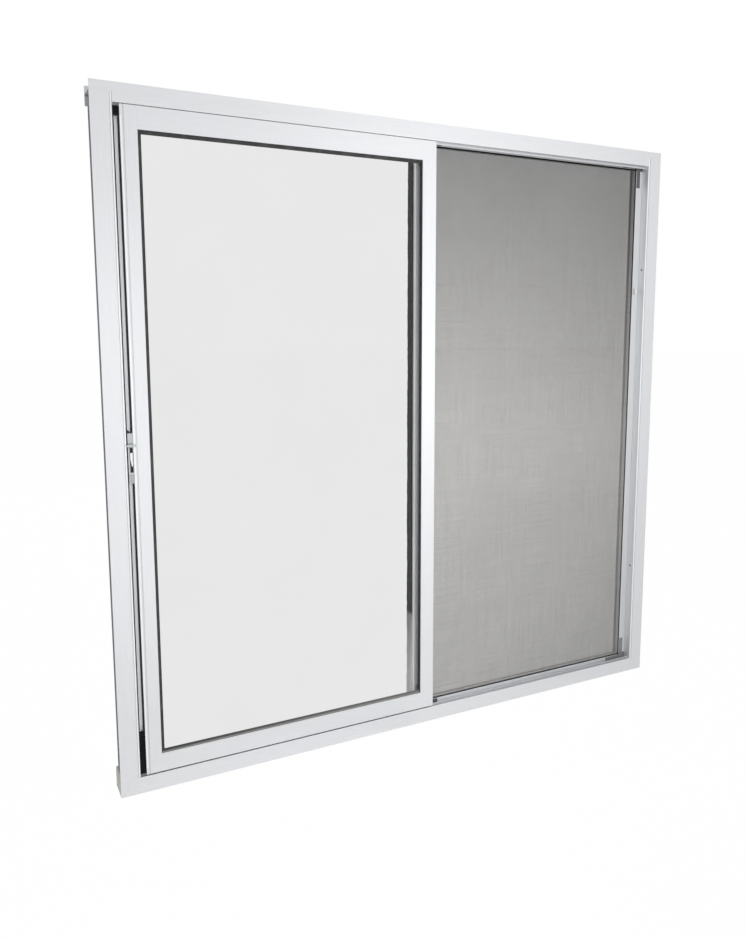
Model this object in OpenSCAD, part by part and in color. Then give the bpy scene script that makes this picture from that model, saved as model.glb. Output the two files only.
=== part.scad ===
// Sliding aluminium window: a glazed sash slides in front, a fixed pane stands behind a sliding insect screen.
// X runs to the right as seen from the front, Y to the back and Z up, with the front face at the lowest Y.
// The origin is the centre of the sill's underside.

/* [Window] */
// Width over the frame
window_w = 1200; // [900:10:1800]
// Height over the frame
window_h = 1200; // [700:10:1800]
// Wall thickness of the frame and sash profiles
wall_t = 1.3; // [1:0.1:1.6]
// Thickness of the glass
glass_t = 3; // [3:0.5:4]

/* [Frame] */
// Width of the flat face of each jamb
jamb_face_w = 30; // [24:1:40]
// Width of the rounded bead on the inner edge of each jamb
bead_w = 4; // [3:0.5:5]
// Height of the sill's front face
sill_face_h = 30; // [27:0.5:34]
// Height of the head's front face
head_face_h = 31; // [27:0.5:34]
// Height of the track floor over the sill's underside, and depth of the head's top channel
floor_h = 14; // [12:0.5:17]
// Height of the rear wall of the sill and of the head
rear_wall_h = 31.5; // [30:0.5:44]
// Reach of the glazing fins from the jamb's web
glazing_reach = 10; // [9:0.5:20]
// Gap in depth between the screen and the mullion
mullion_gap = 1; // [0.5:0.25:3]
// Setback of the glazing fins behind the mullion's front
glazing_setback = 5; // [3:0.5:8]
// Thickness of the gasket behind the fixed glass
rear_gasket_t = 6.7; // [3:0.1:8]

/* [Tracks] */
// Setback of the sash track from the back of the sash
track_setback = 8; // [7:0.5:9]
// Thickness of each track ridge and guide fin
ridge_t = 1.4; // [1:0.1:2]
// Height of the sash track's top over the sill's face
sash_ridge_rise = 1; // [0.5:0.25:1.5]
// Drop of the head's guide fin under the head's face
guide_fin_drop = 4.5; // [2:0.5:6]
// Height of the low fins in front of the screen, over the track floor
screen_fin_h = 10; // [6:0.5:12]

/* [Sash] */
// Gap between the left jamb and the sash
sash_gap = 10.6; // [9:0.2:14]
// Reach of the sash past the middle of the window
sash_overlap = 24.5; // [20:0.5:40]
// Distance of the sash's front behind the frame's front face
sash_front_d = 0.5; // [0.3:0.1:1]
// Depth of the sash
sash_depth = 18.5; // [16:0.5:24]
// Gap under the sash, over the sill's face
sash_gap_under = 2; // [1.6:0.1:3]
// Gap over the sash, under the head's face
sash_gap_over = 1; // [0.5:0.1:2]
// Face width of the lock stile
lock_stile_w = 27; // [25:0.5:34]
// Face width of the meeting stile
meeting_stile_w = 29.5; // [26:0.5:36]
// Face height of the top rail
top_rail_h = 37; // [34:0.5:46]
// Face height of the bottom rail
bottom_rail_h = 33.5; // [33:0.5:42]
// Depth of the glass pocket in the sash members
pocket_depth = 10; // [9:0.5:11]
// Gasket thickness between glass and metal
gasket_t = 3.7; // [3.4:0.1:3.9]
// Width of the gasket's lip that shows on the glass
gasket_lip_w = 5; // [2:0.5:7]

/* [Screen] */
// Reach of the screen past the middle of the window, to the left
screen_overlap = 10; // [6:0.5:16]
// Gap in depth between the sash and the screen
screen_gap = 1; // [0.5:0.1:3]
// Thickness of the screen's frame
screen_depth = 8; // [7:0.5:14]
// Face width of the screen's bars
screen_bar_w = 21; // [19:0.5:26]
// Gap between the screen and the head's channel
screen_lift_gap = 5; // [3:0.5:6]
// Length of the legs of the plastic corners
corner_leg_l = 57; // [40:1:80]
// Width of the legs of the plastic corners
corner_leg_w = 10; // [8:0.5:12]

/* [Latch] */
// Height of the latch's middle over the sill's underside
latch_z = 598; // [300:1:640]
// Height of the latch
latch_h = 85; // [70:1:110]

/* [Fixing] */
// Radius of the fixing holes in the jambs
fixing_hole_r = 2.5; // [2:0.25:3.5]
// Distance of the fixing holes from the window's top and bottom
fixing_hole_end = 256; // [120:1:330]

/* [Hidden] */
$fn = 48;

// Colours
aluminium = [0.80, 0.82, 0.85];
clear_glass = [0.86, 0.90, 0.92, 0.4];
black_rubber = [0.07, 0.07, 0.08];
black_pile = [0.12, 0.12, 0.13];
dark_plastic = [0.33, 0.34, 0.36];
pale_foam = [0.86, 0.88, 0.66];
white_nylon = [0.88, 0.88, 0.86];
zinc = [0.74, 0.76, 0.78];
screen_grey = [0.55, 0.56, 0.58, 0.6];

// Depths behind the front face, added up from front to back
sash_rear_d = sash_front_d + sash_depth;
sash_glass_d = sash_front_d + wall_t + gasket_t;
pocket_lip_d = sash_glass_d + glass_t + gasket_t;
sash_track_d = sash_rear_d - track_setback;
screen_front_d = sash_rear_d + screen_gap;
mullion_front_d = screen_front_d + screen_depth + mullion_gap;
glazing_fin_d = mullion_front_d + glazing_setback;
fixed_glass_d = glazing_fin_d + wall_t + gasket_t;
rear_in = fixed_glass_d + glass_t + rear_gasket_t;
frame_depth = rear_in + wall_t;

// Frame
half_w = window_w / 2;
front_y = -frame_depth / 2;
web_in = jamb_face_w + bead_w;
web_left = web_in - half_w;
web_right = half_w - web_in;
head_floor_z = window_h - floor_h;
head_face_z = window_h - head_face_h;
rear_top_z = window_h - rear_wall_h;
rear_leg_in = 4;
bead_r = bead_w / 2;
bead_depth = bead_w;
bite = wall_t / 2;
fit_gap = 0.3;
overrun = 5;

// Tracks
ridge_top_z = sill_face_h + sash_ridge_rise;
screen_fin_d = screen_front_d - ridge_t - 2 * fit_gap;
screen_track_d = screen_front_d + screen_depth / 2;

// Fixed pane
mullion_face_w = 35;
mullion_left = -screen_overlap;
mullion_right = mullion_left + mullion_face_w;
mullion_tube_w = mullion_face_w - glazing_reach;
fixed_sight_right = web_right - glazing_reach;
fixed_glass_edge = 8;
gasket_seat = 6;
fixed_lip_w = 1.5;
rear_gasket_in = 5;
block_l = 80;
block_share = 0.25;

// Sash
sash_left = web_left + sash_gap;
sash_right = sash_overlap;
sash_bottom = sill_face_h + sash_gap_under;
sash_top = head_face_z - sash_gap_over;
sight_left = sash_left + lock_stile_w;
sight_right = sash_right - meeting_stile_w;
sight_bottom = sash_bottom + bottom_rail_h;
sight_top = sash_top - top_rail_h;
glass_bite = pocket_depth - 2.5 * fit_gap;
lip_w = 3.4;
lip_r = lip_w / 2;
lip_notch_top = 17;
lip_notch_bottom = 12;
groove_w = 2;
groove_depth = 0.5;
groove_in = 4.4;
outer_web_in = 7.4;
top_channel_h = 10;
pull_strip_reach = 5.2;
pull_strip_w = 4;
pull_strip_t = 3.5;
pull_notch_bottom = 74;
stile_pile_t = 2.2;
stile_pile_w = 7.4;
lip_t = 1;

// Rollers and guides
wheel_r = 9;
flange_r = 11;
wheel_w = 3;
flange_w = 1.6;
wheel_axis_z = ridge_top_z + wheel_r;
roller_inset = 70;
housing_l = 46;
guide_l = 30;
guide_rise = 6;
guide_clear = 1.2;
guide_front_d = sash_front_d + wall_t + guide_clear;
guide_rear_d = sash_rear_d - wall_t - guide_clear;
guide_slot_w = ridge_t + 3 * fit_gap;

// Seals and stops
jamb_pile_t = 2;
jamb_pile_d = sash_rear_d + fit_gap - jamb_pile_t;
seal_strip_t = 3.2;
pad_w = 8;
pad_top = 37;
bumper_h = 14;
foot_block_h = 74;
bumper_front_d = bead_depth;
bumper_rear_d = sash_rear_d - bead_depth;
bumper_gap_top = 3;
bumper_gap_bottom = 2;
meeting_pile_w = 6;
meeting_pile_in = 3;
meeting_pile_t = screen_gap - fit_gap;

// Latch, placed in the gap between the left jamb and the lock stile
keeper_t = 1.2;
latch_left = web_left + keeper_t + 2 * fit_gap;
latch_right = sash_left - fit_gap;
latch_front_d = 1;
latch_rear_d = sash_rear_d - wall_t - stile_pile_t - fit_gap;
latch_root_d = sash_front_d + lip_w + fit_gap;
latch_top = latch_z + latch_h / 2;
latch_bottom = latch_z - latch_h / 2;
latch_slot_h = 42;
latch_slot_w = 4.8;
latch_slot_depth = 8;
latch_slot_drop = 24.5;
lever_h = 24;
lever_w = 4;
lever_drop = 33;
lever_proud = 0.8;
latch_mid_in = 1;
latch_mid_x = (latch_left + latch_right) / 2 + latch_mid_in;
cross_w = 15.6;
cross_h = 4.4;
cross_t = 1.2;
cross_drop = 18.5;
cross_front_d = -1.5;
stem_w = 5;
chamfer_side = 2.4;
knurl_n = 5;
knurl_h = 1.2;
knurl_pitch = 3;
knurl_depth = 0.5;
knurl_in = 1.5;
keeper_h = 76;
keeper_front_d = bead_depth + keeper_t;
keeper_rear_d = sash_rear_d - bead_depth;

// Screen
screen_left = -screen_overlap;
screen_right = web_right - fit_gap;
screen_bottom = floor_h + screen_lift_gap;
screen_top = head_floor_z - screen_lift_gap;
screen_wall_t = 0.9;
spline_w = 3.6;
spline_depth = 3;
edge_lip_w = 0.5;
mesh_t = 0.5;
spline_in = screen_bar_w - edge_lip_w - spline_w;
corner_leg_t = 2;
corner_leg_in = 6;
pull_z = window_h - 304;
pull_w = 10;
pull_h = 14;
pull_base_t = 1.5;
pull_fin_t = 2;
pull_fin_proud = 6;
pull_side_in = 3.5;

// A rectangle between two corners
module strip(x0, x1, y0, y1) translate([x0, y0]) square([x1 - x0, y1 - y0]);

// A box between two X, two depths behind the front face and two heights
module block(x0, x1, d0, d1, z0, z1)
    translate([x0, front_y + d0, z0]) cube([x1 - x0, d1 - d0, z1 - z0]);

// A profile drawn in X and depth, standing between two heights
module upright(z0, z1) translate([0, front_y, z0]) linear_extrude(z1 - z0) children();

// A profile drawn in depth and height, lying between two X
module lengthwise(x0, x1) translate([x0, front_y, 0]) rotate([90, 0, 90]) linear_extrude(x1 - x0) children();

// A flat ring round a rectangle in X and Z, from an outer to an inner margin
module ring(x0, x1, z0, z1, outer, inner, d0, d1) difference() {
    block(x0 - outer, x1 + outer, d0, d1, z0 - outer, z1 + outer);
    block(x0 + inner, x1 - inner, d0 - overrun, d1 + overrun, z0 + inner, z1 - inner);
}

// Upstanding fins of the sill; the head's hang down in the same places
module track_fins(sash_fin_h) {
    root = floor_h - bite;
    strip(sash_track_d - ridge_t / 2, sash_track_d + ridge_t / 2, root, sash_fin_h);
    strip(screen_fin_d, screen_fin_d + ridge_t, root, floor_h + screen_fin_h);
    strip(glazing_fin_d, glazing_fin_d + wall_t, root, rear_wall_h);
}

module sill() color(aluminium) union() {
    lengthwise(-half_w, half_w) {
        strip(0, frame_depth, 0, wall_t);
        strip(0, frame_depth, floor_h - wall_t, floor_h);
        strip(0, wall_t, 0, sill_face_h);
        strip(rear_in, frame_depth, 0, rear_wall_h);
    }
    lengthwise(web_left, web_right) {
        track_fins(ridge_top_z);
        strip(screen_track_d - ridge_t / 2, screen_track_d + ridge_t / 2, floor_h - bite, screen_bottom);
    }
}

module head() color(aluminium) translate([0, 0, window_h]) mirror([0, 0, 1]) union() {
    lengthwise(-half_w, half_w) {
        strip(0, frame_depth, floor_h - wall_t, floor_h);
        strip(0, wall_t, 0, floor_h);
        strip(rear_in, frame_depth, 0, rear_wall_h);
    }
    lengthwise(web_left, web_right) {
        strip(0, wall_t, floor_h - bite, head_face_h);
        track_fins(head_face_h + guide_fin_drop);
    }
}

// Left jamb in X and depth, from its front leg to its web
module jamb_front_profile() {
    strip(-half_w, web_left - bead_w, 0, wall_t);
    translate([web_left - bead_r, bead_r]) circle(r = bead_r);
    strip(web_left - bead_w, web_left, bead_r, bead_depth);
    strip(web_left - bead_w - wall_t, web_left - bead_w + bite, groove_depth, wall_t);
}

// Left jamb; a glazed one has a longer rear leg and a fin in front of the fixed pane
module jamb(glazed) difference() {
    union() {
        rear_reach = glazed ? glazing_reach : 0;
        upright(sill_face_h, head_floor_z) jamb_front_profile();
        upright(floor_h, head_floor_z) strip(web_left - wall_t, web_left, bead_r, rear_in);
        upright(rear_wall_h, rear_top_z) {
            strip(web_left - wall_t, web_left, bead_r, rear_in + bite);
            strip(rear_leg_in - half_w, web_left + rear_reach, rear_in, frame_depth);
            if (glazed)
                strip(web_left - bite, web_left + glazing_reach, glazing_fin_d, glazing_fin_d + wall_t);
        }
    }
    for (z = [fixing_hole_end, window_h - fixing_hole_end])
        translate([web_left - wall_t - overrun, front_y + sash_track_d, z]) rotate([0, 90, 0])
            cylinder(r = fixing_hole_r, h = wall_t + 2 * overrun);
}

module jamb_left() color(aluminium) jamb(false);

module jamb_right() color(aluminium) mirror([1, 0, 0]) jamb(true);

module mullion() color(aluminium) upright(rear_wall_h, rear_top_z) {
    tube_right = mullion_left + mullion_tube_w;
    strip(mullion_left, tube_right, mullion_front_d, mullion_front_d + wall_t);
    strip(mullion_left, mullion_left + wall_t, mullion_front_d, frame_depth);
    strip(tube_right - wall_t, tube_right, mullion_front_d, frame_depth);
    strip(mullion_left, mullion_right, rear_in, frame_depth);
    strip(tube_right - bite, mullion_right, glazing_fin_d, glazing_fin_d + wall_t);
}

module fixed_glass() color(clear_glass)
    block(mullion_right - fixed_glass_edge, fixed_sight_right + fixed_glass_edge,
        fixed_glass_d, fixed_glass_d + glass_t,
        rear_wall_h - fixed_glass_edge, rear_top_z + fixed_glass_edge);

module fixed_gasket() color(black_rubber) {
    ring(mullion_right, fixed_sight_right, rear_wall_h, rear_top_z, gasket_seat, fixed_lip_w,
        glazing_fin_d + wall_t, fixed_glass_d);
    ring(mullion_right, fixed_sight_right, rear_wall_h, rear_top_z, fixed_glass_edge, -rear_gasket_in,
        fixed_glass_d + glass_t, rear_in);
}

module setting_blocks() color(black_rubber) {
    pane_w = fixed_sight_right - mullion_right;
    for (share = [block_share, 1 - block_share])
        translate([mullion_right + pane_w * share, 0, 0])
            block(-block_l / 2, block_l / 2, fixed_glass_d - fit_gap, fixed_glass_d + glass_t + fit_gap,
                floor_h, rear_wall_h - fixed_glass_edge);
}

module jamb_pile() color(black_pile)
    block(web_left, sash_left - pull_strip_reach - fit_gap, jamb_pile_d, jamb_pile_d + jamb_pile_t,
        sash_bottom, sash_top);

module mullion_seal() color(black_rubber)
    block(mullion_left - seal_strip_t, mullion_left, mullion_front_d + wall_t, rear_in,
        rear_wall_h, rear_top_z);

// Foam pad that closes the open end of the sill and the foot of the left jamb's channel
module seal_pad() {
    block(-half_w, pad_w - half_w, wall_t, rear_in, wall_t, floor_h - wall_t);
    block(-half_w, pad_w - half_w, wall_t, rear_in, floor_h, pad_top);
}

module seal_pad_left() color(pale_foam) seal_pad();

module seal_pad_right() color(pale_foam) mirror([1, 0, 0]) seal_pad();

module bumper(z0, z1) color(black_rubber)
    block(web_left, sash_left - fit_gap, bumper_front_d, bumper_rear_d, z0, z1);

module bumper_top() bumper(sash_top - bumper_gap_top - bumper_h, sash_top - bumper_gap_top);

module bumper_bottom() bumper(sash_bottom + bumper_gap_bottom, sash_bottom + bumper_gap_bottom + foot_block_h);

module keeper() color(zinc)
    block(web_left, web_left + keeper_t, keeper_front_d, keeper_rear_d,
        latch_z - keeper_h / 2, latch_z + keeper_h / 2);

// Sash member in distance from its outer edge and depth, with its glass pocket on the far side
module sash_profile(width, channel) {
    floor_in = width - pocket_depth;
    strip(0, width, sash_front_d, sash_front_d + wall_t);
    strip(0, floor_in, sash_rear_d - wall_t, sash_rear_d);
    strip(floor_in - wall_t, floor_in, sash_front_d, sash_rear_d);
    strip(floor_in - bite, width, pocket_lip_d, pocket_lip_d + wall_t);
    if (channel >= 0) strip(channel, channel + wall_t, sash_front_d, sash_rear_d);
}

module sash_lock_stile() color(aluminium) difference() {
    union() {
        upright(sash_bottom, sash_top) translate([sash_left, 0]) sash_profile(lock_stile_w, outer_web_in);
        upright(sash_bottom + lip_notch_bottom, sash_top - lip_notch_top)
            translate([sash_left + lip_r, lip_r]) circle(r = lip_r);
    }
    block(sash_left + groove_in, sash_left + groove_in + groove_w, sash_front_d - overrun,
        sash_front_d + groove_depth, sash_bottom - overrun, sash_top + overrun);
}

// Strip along the back edge of the lock stile, with a raised inner edge
module pull_strip() color(aluminium) upright(sash_bottom + pull_notch_bottom, sash_top - lip_notch_top) {
    strip(sash_left - pull_strip_reach, sash_left, sash_rear_d - wall_t, sash_rear_d);
    strip(sash_left - pull_strip_reach, sash_left - pull_strip_reach + pull_strip_w,
        sash_rear_d - pull_strip_t, sash_rear_d);
}

module sash_meeting_stile() color(aluminium) upright(sash_bottom, sash_top)
    translate([sash_right, 0]) mirror([1, 0]) sash_profile(meeting_stile_w, 0);

module sash_top_rail() color(aluminium) lengthwise(sight_left, sight_right)
    translate([0, sash_top]) mirror([0, 1]) mirror([1, -1]) sash_profile(top_rail_h, top_channel_h);

module sash_bottom_rail() color(aluminium) lengthwise(sight_left, sight_right)
    translate([0, sash_bottom]) mirror([1, -1]) sash_profile(bottom_rail_h, -1);

module sash_glass() color(clear_glass)
    block(sight_left - glass_bite, sight_right + glass_bite, sash_glass_d, sash_glass_d + glass_t,
        sight_bottom - glass_bite, sight_top + glass_bite);

// Ring between metal and glass, with a thinner lip that shows on the glass
module sash_gasket(metal_d, glass_d) {
    lip_start = glass_d > metal_d ? glass_d - lip_t : glass_d;
    ring(sight_left, sight_right, sight_bottom, sight_top, gasket_seat, bite,
        min(metal_d, glass_d), max(metal_d, glass_d));
    ring(sight_left, sight_right, sight_bottom, sight_top, bite, gasket_lip_w, lip_start, lip_start + lip_t);
}

module sash_gasket_front() color(black_rubber) union() sash_gasket(sash_front_d + wall_t, sash_glass_d);

module sash_gasket_rear() color(black_rubber) union() sash_gasket(pocket_lip_d, sash_glass_d + glass_t);

module each_roller() for (x = [sight_left + roller_inset, sight_right - roller_inset])
    translate([x, 0, 0]) children();

module roller_housings() color(dark_plastic) each_roller() difference() {
    block(-housing_l / 2, housing_l / 2, sash_front_d + wall_t, sash_rear_d - wall_t,
        sash_bottom, sash_bottom + bottom_rail_h - pocket_depth - wall_t);
    block(-flange_r - fit_gap, flange_r + fit_gap, sash_track_d - wheel_w - fit_gap,
        sash_track_d + wheel_w + fit_gap, sash_bottom - overrun, wheel_axis_z + flange_r + fit_gap);
    block(-housing_l, housing_l, sash_track_d - ridge_t, sash_track_d + ridge_t,
        sash_bottom - overrun, ridge_top_z + fit_gap);
}

module roller_wheels() color(white_nylon) each_roller()
    translate([0, front_y + sash_track_d, wheel_axis_z]) rotate([90, 0, 0]) difference() {
        cylinder(r = flange_r, h = 2 * wheel_w, center = true);
        difference() {
            cylinder(r = flange_r + overrun, h = 2 * (wheel_w - flange_w), center = true);
            cylinder(r = wheel_r, h = 2 * wheel_w, center = true);
        }
    }

module top_guides() color(dark_plastic) each_roller() difference() {
    block(-guide_l / 2, guide_l / 2, guide_front_d, guide_rear_d,
        sash_top - top_channel_h, sash_top + guide_rise);
    block(-guide_l, guide_l, sash_track_d - guide_slot_w / 2, sash_track_d + guide_slot_w / 2,
        head_face_z - guide_fin_drop - 2 * fit_gap, sash_top + guide_rise + overrun);
}

module lock_stile_pile() color(black_pile)
    block(sash_left - pull_strip_reach + pull_strip_w, sash_left - pull_strip_reach + pull_strip_w + stile_pile_w,
        sash_rear_d - wall_t - stile_pile_t, sash_rear_d - wall_t,
        sash_bottom + pull_notch_bottom, sash_top - lip_notch_top);

module meeting_pile() color(black_pile)
    block(sight_right + meeting_pile_in, sight_right + meeting_pile_in + meeting_pile_w,
        sash_rear_d, sash_rear_d + meeting_pile_t, sash_bottom, sash_top);

module latch_body() color(zinc) difference() {
    union() {
        block(latch_left, latch_right, latch_front_d, latch_rear_d, latch_bottom, latch_top);
        block(latch_right - bite, sash_left + outer_web_in, latch_root_d, latch_rear_d, latch_bottom, latch_top);
    }
    block(latch_mid_x - latch_slot_w / 2, latch_mid_x + latch_slot_w / 2, latch_front_d - overrun,
        latch_front_d + latch_slot_depth, latch_top - latch_slot_drop - latch_slot_h, latch_top - latch_slot_drop);
    for (i = [0 : knurl_n - 1])
        block(latch_left - overrun, latch_right + overrun, latch_front_d - overrun, latch_front_d + knurl_depth,
            latch_bottom + knurl_in + i * knurl_pitch, latch_bottom + knurl_in + i * knurl_pitch + knurl_h);
}

module latch_lever() color(white_nylon)
    block(latch_mid_x - lever_w / 2, latch_mid_x + lever_w / 2, latch_front_d - lever_proud,
        latch_front_d + latch_slot_depth, latch_top - lever_drop - lever_h, latch_top - lever_drop);

module latch_crossbar() color(zinc) union() {
    z1 = latch_top - cross_drop;
    z0 = z1 - cross_h;
    x0 = latch_mid_x - cross_w / 2;
    x1 = latch_mid_x + cross_w / 2;
    translate([0, front_y + cross_front_d + cross_t, 0]) rotate([90, 0, 0]) linear_extrude(cross_t)
        polygon([
            [x0, z0 + cross_h / 4], [x0 + chamfer_side, z0], [x1, z0],
            [x1, z1], [x0 + chamfer_side, z1], [x0, z0 + cross_h / 2]
        ]);
    block(latch_mid_x - stem_w / 2, latch_mid_x + stem_w / 2, cross_front_d + cross_t / 2, latch_front_d, z0, z1);
}

// Screen bar in distance from its outer edge and depth, hollow, with the spline's groove and a lowered edge
module screen_bar_profile() difference() {
    strip(0, screen_bar_w, screen_front_d, screen_front_d + screen_depth);
    strip(screen_wall_t, spline_in - screen_wall_t, screen_front_d + corner_leg_t + screen_wall_t,
        screen_front_d + screen_depth - screen_wall_t);
    strip(spline_in, spline_in + spline_w, screen_front_d - overrun, screen_front_d + spline_depth);
    strip(spline_in, screen_bar_w + overrun, screen_front_d - overrun, screen_front_d + mesh_t);
}

// Places where the corner legs lie in the fronts of the bars
module corner_leg_cuts() ring(screen_left, screen_right, screen_bottom, screen_top,
    -corner_leg_in, corner_leg_in + corner_leg_w, screen_front_d - overrun, screen_front_d + corner_leg_t);

module corner_zones() for (sx = [0, 1], sz = [0, 1])
    block(sx == 0 ? screen_left - overrun : screen_right - corner_leg_l,
        sx == 0 ? screen_left + corner_leg_l : screen_right + overrun,
        screen_front_d - overrun, screen_front_d + screen_depth + overrun,
        sz == 0 ? screen_bottom - overrun : screen_top - corner_leg_l,
        sz == 0 ? screen_bottom + corner_leg_l : screen_top + overrun);

module screen_bar_cut() color(aluminium) difference() {
    children();
    intersection() {
        corner_leg_cuts();
        corner_zones();
    }
}

module screen_top_bar() screen_bar_cut() lengthwise(screen_left + screen_bar_w, screen_right - screen_bar_w)
    translate([0, screen_top]) mirror([0, 1]) mirror([1, -1]) screen_bar_profile();

module screen_bottom_bar() screen_bar_cut() lengthwise(screen_left + screen_bar_w, screen_right - screen_bar_w)
    translate([0, screen_bottom]) mirror([1, -1]) screen_bar_profile();

module screen_left_bar() screen_bar_cut() upright(screen_bottom + screen_bar_w, screen_top - screen_bar_w)
    translate([screen_left, 0]) screen_bar_profile();

module screen_right_bar() screen_bar_cut() upright(screen_bottom + screen_bar_w, screen_top - screen_bar_w)
    translate([screen_right, 0]) mirror([1, 0]) screen_bar_profile();

// Plastic corner at the lower left of the screen: a block between the bars and a flat leg on each
module screen_corner() color(dark_plastic) difference() {
    union() {
        block(screen_left, screen_left + screen_bar_w, screen_front_d, screen_front_d + screen_depth,
            screen_bottom, screen_bottom + screen_bar_w);
        block(screen_left + corner_leg_in, screen_left + corner_leg_l, screen_front_d,
            screen_front_d + corner_leg_t, screen_bottom + corner_leg_in,
            screen_bottom + corner_leg_in + corner_leg_w);
        block(screen_left + corner_leg_in, screen_left + corner_leg_in + corner_leg_w, screen_front_d,
            screen_front_d + corner_leg_t, screen_bottom + corner_leg_in, screen_bottom + corner_leg_l);
    }
    block(screen_left + spline_in, screen_left + screen_bar_w + overrun, screen_front_d - overrun,
        screen_front_d + spline_depth, screen_bottom + spline_in, screen_bottom + screen_bar_w + overrun);
}

module flip_x() translate([screen_left + screen_right, 0, 0]) mirror([1, 0, 0]) children();

module flip_z() translate([0, 0, screen_bottom + screen_top]) mirror([0, 0, 1]) children();

module screen_corner_bottom_left() screen_corner();

module screen_corner_bottom_right() flip_x() screen_corner();

module screen_corner_top_left() flip_z() screen_corner();

module screen_corner_top_right() flip_x() flip_z() screen_corner();

module screen_mesh() color(screen_grey)
    block(screen_left + spline_in + spline_w, screen_right - spline_in - spline_w,
        screen_front_d, screen_front_d + mesh_t,
        screen_bottom + spline_in + spline_w, screen_top - spline_in - spline_w);

module screen_spline() color(black_rubber)
    ring(screen_left, screen_right, screen_bottom, screen_top, -spline_in, spline_in + spline_w,
        screen_front_d, screen_front_d + spline_depth);

module screen_pull() color(white_nylon) union() {
    x1 = screen_right - pull_side_in;
    block(x1 - pull_w, x1, screen_front_d - pull_base_t, screen_front_d, pull_z - pull_h / 2, pull_z + pull_h / 2);
    block(x1 - pull_w, x1 - pull_w + pull_fin_t, screen_front_d - pull_fin_proud, screen_front_d,
        pull_z - pull_h / 2, pull_z + pull_h / 2);
}

sill();
head();
jamb_left();
jamb_right();
mullion();
fixed_glass();
fixed_gasket();
setting_blocks();
jamb_pile();
mullion_seal();
seal_pad_left();
seal_pad_right();
bumper_top();
bumper_bottom();
keeper();
sash_lock_stile();
pull_strip();
sash_meeting_stile();
sash_top_rail();
sash_bottom_rail();
sash_glass();
sash_gasket_front();
sash_gasket_rear();
roller_housings();
roller_wheels();
top_guides();
lock_stile_pile();
meeting_pile();
latch_body();
latch_lever();
latch_crossbar();
screen_top_bar();
screen_bottom_bar();
screen_left_bar();
screen_right_bar();
screen_corner_top_left();
screen_corner_top_right();
screen_corner_bottom_left();
screen_corner_bottom_right();
screen_mesh();
screen_spline();
screen_pull();
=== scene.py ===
"""Looks of the sliding aluminium window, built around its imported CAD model.

Millimetres are used for places: X from the window's centre, d is the depth behind the front face,
and Z is the height over the sill's underside. at() turns them into metres in the frame.
"""

import math
import random

import bmesh
import bpy
from mathutils import Matrix, Vector


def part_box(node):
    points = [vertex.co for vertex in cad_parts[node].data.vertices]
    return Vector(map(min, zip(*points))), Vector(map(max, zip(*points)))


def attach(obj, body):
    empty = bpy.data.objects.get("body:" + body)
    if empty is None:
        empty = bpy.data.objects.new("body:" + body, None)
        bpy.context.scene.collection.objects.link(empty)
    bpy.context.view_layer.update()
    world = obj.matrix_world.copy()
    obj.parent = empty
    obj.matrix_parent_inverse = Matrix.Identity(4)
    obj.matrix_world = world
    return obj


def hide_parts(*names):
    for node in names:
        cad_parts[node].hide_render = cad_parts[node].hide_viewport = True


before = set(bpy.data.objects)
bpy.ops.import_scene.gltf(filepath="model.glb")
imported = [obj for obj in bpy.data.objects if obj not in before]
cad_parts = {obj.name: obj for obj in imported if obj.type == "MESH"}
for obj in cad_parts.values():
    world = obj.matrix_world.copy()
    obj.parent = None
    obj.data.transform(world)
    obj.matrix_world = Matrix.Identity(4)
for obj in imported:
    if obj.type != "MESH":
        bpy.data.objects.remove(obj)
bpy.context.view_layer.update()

MM = 0.001
HALF_DEPTH = 25.0

# Camera, fitted to the corners of the window in the photograph
CAMERA_PLACE = (-0.8002, -1.4669, 0.8266)
CAMERA_YAW = 28.351
CAMERA_PITCH = -7.732
CAMERA_ROLL = 0.204
CAMERA_LENS = 32.13
CAMERA_SENSOR = 36.0
CAMERA_SHIFT = (-0.0438, -0.0362)
CAMERA_CLIP = (0.05, 100.0)

# Surroundings; the floor's share is how much of it is plain white where it is seen
WHITE = (1.0, 1.0, 1.0, 1.0)
WORLD_COLOUR = (0.98, 0.99, 1.0, 1.0)
WORLD_LIGHT = 0.32
FLOOR_COLOUR = (0.82, 0.82, 0.82, 1.0)
FLOOR_SHARE = 0.99
FLOOR_HALF_WIDTH = 20.0
FLOOR_DROP = 0.0002

# Place, aim, size and power of each light panel
LAMPS = {
    "left_light": ((-0.6, -0.8, 0.78), (-0.55, 0.0, 0.76), 0.4, 2.25),
    "middle_light": ((0.02, -0.7, 0.72), (0.02, 0.0, 0.7), 0.4, 4.2),
    "upper_light": ((0.32, -0.8, 1.28), (0.3, 0.0, 1.2), 0.4, 2.2),
    "foot_light": ((-0.4, -0.9, 0.12), (-0.38, 0.0, 0.06), 0.5, 2.2),
    "rear_light": ((0.6, 2.6, 1.6), (0.0, 0.0, 0.7), 2.2, 26.0),
}

# Texture scales and axes of the grain
EVEN = (1.0, 1.0, 1.0)
ALONG_X = 0
ALONG_Z = 2

# Colours that a finish mixes
ALUMINIUM_DARK = (0.735, 0.75, 0.775)
ALUMINIUM_LIGHT = (0.80, 0.812, 0.83)
ALUMINIUM_CLOUD = (0.77, 0.775, 0.785)
ALUMINIUM_SPOT = (0.60, 0.61, 0.62)
# Painted shade that the aluminium falls to in its grooves and corners
ALUMINIUM_PAINTED_SHADE = (0.12, 0.12, 0.125)
DEEP_BLACK = (0.006, 0.006, 0.007)
DEEP_BLACK_WORN = (0.014, 0.0138, 0.0135)
DUST = (0.36, 0.355, 0.345)
FOOT_DUST_HIGH = (0.3, 0.297, 0.29)
FOOT_DUST_LOW = (0.86, 0.85, 0.83)
# The screen's threads are painted darker at the top and lighter at the foot, as painted shade and
# painted light
THREAD_TOP_PAINTED_SHADE = (0.0323, 0.0308, 0.0293)
THREAD_FOOT_PAINTED_LIGHT = (0.431, 0.4185, 0.403)
THREAD_CLOUD = (0.2163, 0.2107, 0.2032)
THREAD_STREAK = (0.057, 0.0545, 0.0515)

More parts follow.
